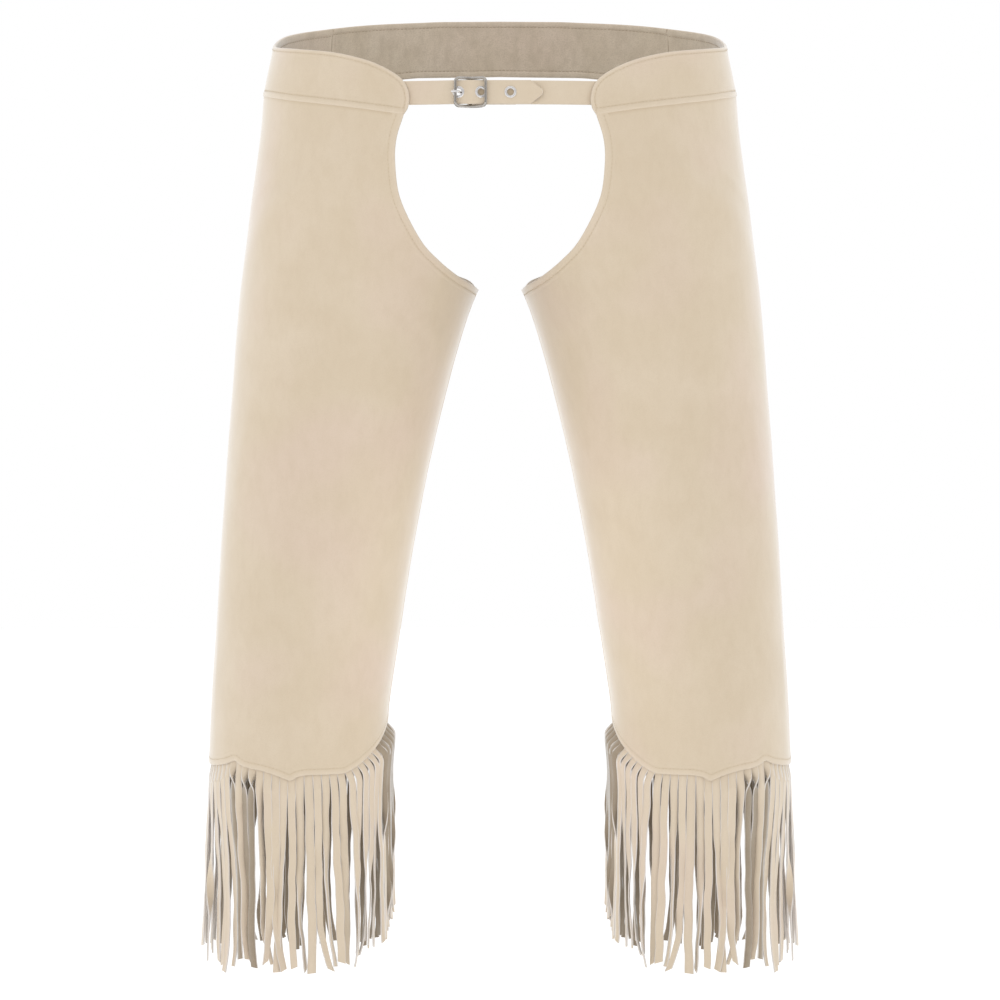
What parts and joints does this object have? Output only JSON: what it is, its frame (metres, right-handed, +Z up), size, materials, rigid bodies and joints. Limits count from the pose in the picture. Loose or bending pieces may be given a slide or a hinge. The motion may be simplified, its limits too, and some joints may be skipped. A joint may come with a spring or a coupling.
{
  "type": "leather chaps",
  "caption": "Knee-length suede chaps with open seat and front, hip yokes joined by a buckled strap, and scalloped hems with long fringe.",
  "frame": {"origin": "centre of the waist ring, half way up the waistband", "axes": "+Z up, -Y to the wearer's front, +X to the wearer's left"},
  "size_m": [0.4738, 0.2536, 0.7738],
  "materials": {
    "suede": "napped suede",
    "fringe_suede": "napped suede, cut in strands",
    "metal": "polished nickel"
  },
  "bodies": {
    "root": {"back_waistband": "suede", "yoke_left": "suede", "yoke_right": "suede", "leg_front_left": "suede", "leg_front_right": "suede", "leg_back_left": "suede", "leg_back_right": "suede", "fringe_front_left": "fringe_suede", "fringe_front_right": "fringe_suede", "fringe_back_left": "fringe_suede", "fringe_back_right": "fringe_suede", "strap_tip": "suede", "strap_buckle": "suede", "buckle_frame": "metal", "buckle_prong": "metal", "eyelet_1": "metal", "eyelet_2": "metal", "eyelet_3": "metal"}
  },
  "joints": []
}
